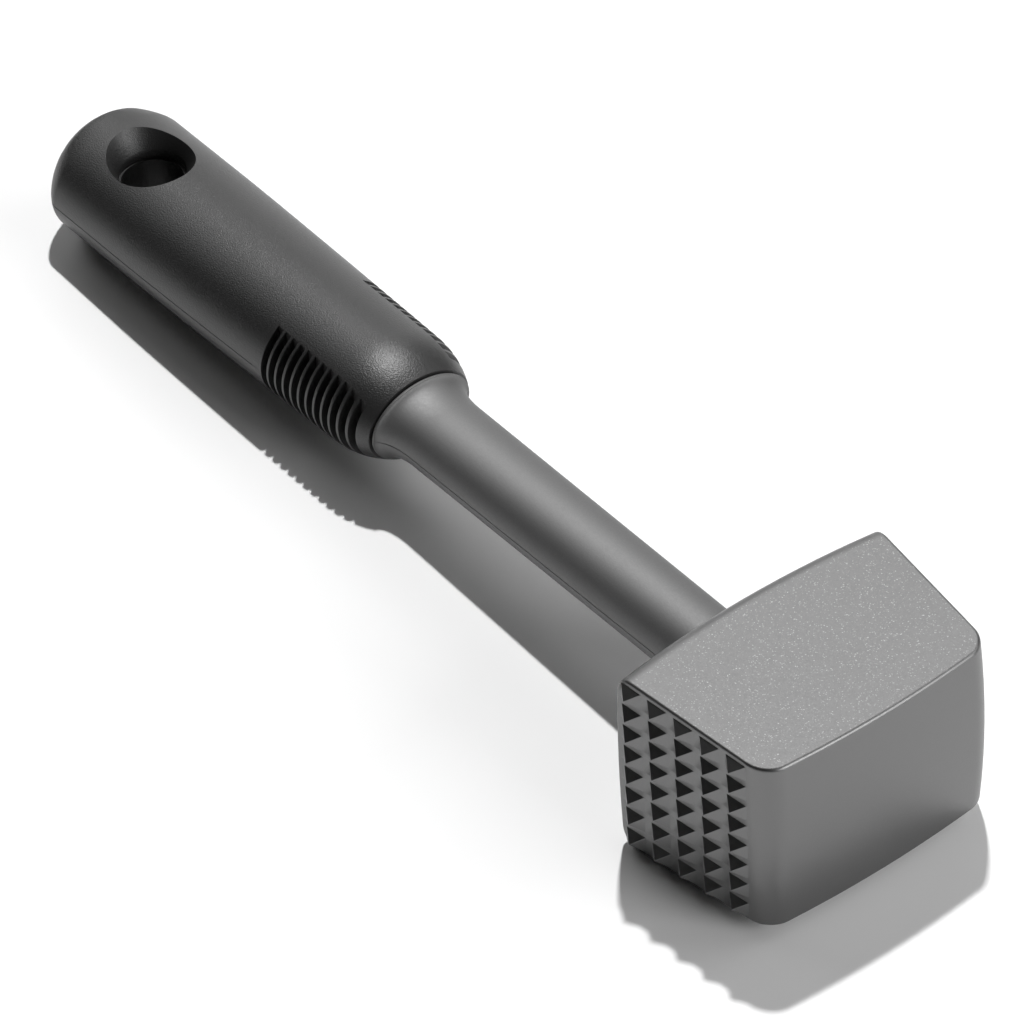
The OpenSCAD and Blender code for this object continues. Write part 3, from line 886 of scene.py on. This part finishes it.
class TENDERIZER_OT_stage(bpy.types.Operator):
    """Add the floor that the object lies on, the studio lights and the camera"""
    bl_idname = "tenderizer.stage"
    bl_label = "Stage"
    bl_options = {"REGISTER", "UNDO"}

    def execute(self, context):
        scene = context.scene
        stage = scene.tenderizer_stage
        height, slope = resting_line()
        middle_x = (CAD_LOW.x + CAD_HIGH.x) / 2
        floor = start(
            bpy.ops.mesh.primitive_circle_add, "floor", vertices=128, radius=stage.floor_radius,
            fill_type="NGON", location=(middle_x, 0, height + slope * middle_x),
            rotation=(0, -math.atan(slope), 0))
        floor.data.materials.append(matt_white(scene.tenderizer_finish.floor))
        floor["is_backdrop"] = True
        aim = Vector((middle_x, 0, 0))
        # Each light's name, side, power and direction from the object
        lights = (("key", stage.key_size, stage.key_power, (-0.22, 0.235, 0.945)),
                  ("back_soft", stage.soft_size, stage.back_power, (-0.6, 0.75, 0.3)),
                  ("front_soft", stage.soft_size, stage.front_power, (1, 0.35, 0.4)),
                  ("left_soft", stage.soft_size / 2, stage.left_power, (-0.6, -0.2, 0.77)),
                  ("butt_soft", stage.soft_size, stage.butt_power, (-0.85, 0.25, 0.5)),
                  ("right_soft", stage.soft_size, stage.right_power, (0.5, 1, 0.8)))
        for name, side, watts, toward in lights:
            area_light(name, side, watts, Vector(toward), stage.distance, aim)
        # The camera sees a pale room, and the object is lit by a nearly dark one
        world = bpy.data.worlds.new("studio")
        scene.world = world
        world.use_nodes = True
        tree = world.node_tree
        tree.nodes.clear()
        path = add_node(tree, "ShaderNodeLightPath")
        seen = add_node(tree, "ShaderNodeBackground", {"Color": (0.9, 0.9, 0.9, 1), "Strength": 1.0})
        lit = add_node(tree, "ShaderNodeBackground", {"Color": (0.02, 0.02, 0.02, 1), "Strength": 1.0})
        mix = add_node(tree, "ShaderNodeMixShader", None, {"Fac": path.outputs["Is Camera Ray"]})
        tree.links.new(lit.outputs["Background"], mix.inputs[1])
        tree.links.new(seen.outputs["Background"], mix.inputs[2])
        output = add_node(tree, "ShaderNodeOutputWorld")
        tree.links.new(mix.outputs["Shader"], output.inputs["Surface"])
        scene.view_settings.view_transform = "Standard"
        bpy.ops.object.camera_add(
            location=CAMERA_PLACE, rotation=[math.radians(a) for a in CAMERA_TURN])
        camera = context.active_object
        camera.name = "photo_camera"
        camera.data.lens = stage.lens
        camera.data.sensor_width = CAMERA_SENSOR
        camera.data.clip_start = 0.05
        camera.data.clip_end = 20
        scene.camera = camera
        return {"FINISHED"}


class TENDERIZER_PT_panel(bpy.types.Panel):
    """Sizes, finishes and steps of the meat tenderizer"""
    bl_idname = "TENDERIZER_PT_panel"
    bl_label = "Meat tenderizer"
    bl_space_type = "VIEW_3D"
    bl_region_type = "UI"
    bl_category = "Tenderizer"

    def draw(self, context):
        for attribute, group in GROUPS.items():
            box = self.layout.box()
            box.label(text=group.__doc__)
            for name in group.__annotations__:
                box.prop(getattr(context.scene, attribute), name)
        for operator in OPERATORS:
            self.layout.operator(operator.bl_idname)


OPERATORS = (TENDERIZER_OT_casting, TENDERIZER_OT_sleeve, TENDERIZER_OT_core, TENDERIZER_OT_stage)


def register():
    for group in (*GROUPS.values(), *OPERATORS, TENDERIZER_PT_panel):
        bpy.utils.register_class(group)
    for attribute, group in GROUPS.items():
        setattr(bpy.types.Scene, attribute, PointerProperty(type=group))


def unregister():
    for attribute in GROUPS:
        delattr(bpy.types.Scene, attribute)
    for group in reversed((*GROUPS.values(), *OPERATORS, TENDERIZER_PT_panel)):
        bpy.utils.unregister_class(group)


def main():
    register()
    bpy.ops.tenderizer.casting()
    bpy.ops.tenderizer.sleeve()
    bpy.ops.tenderizer.core()
    bpy.ops.tenderizer.stage()


if __name__ == "__main__":
    main()
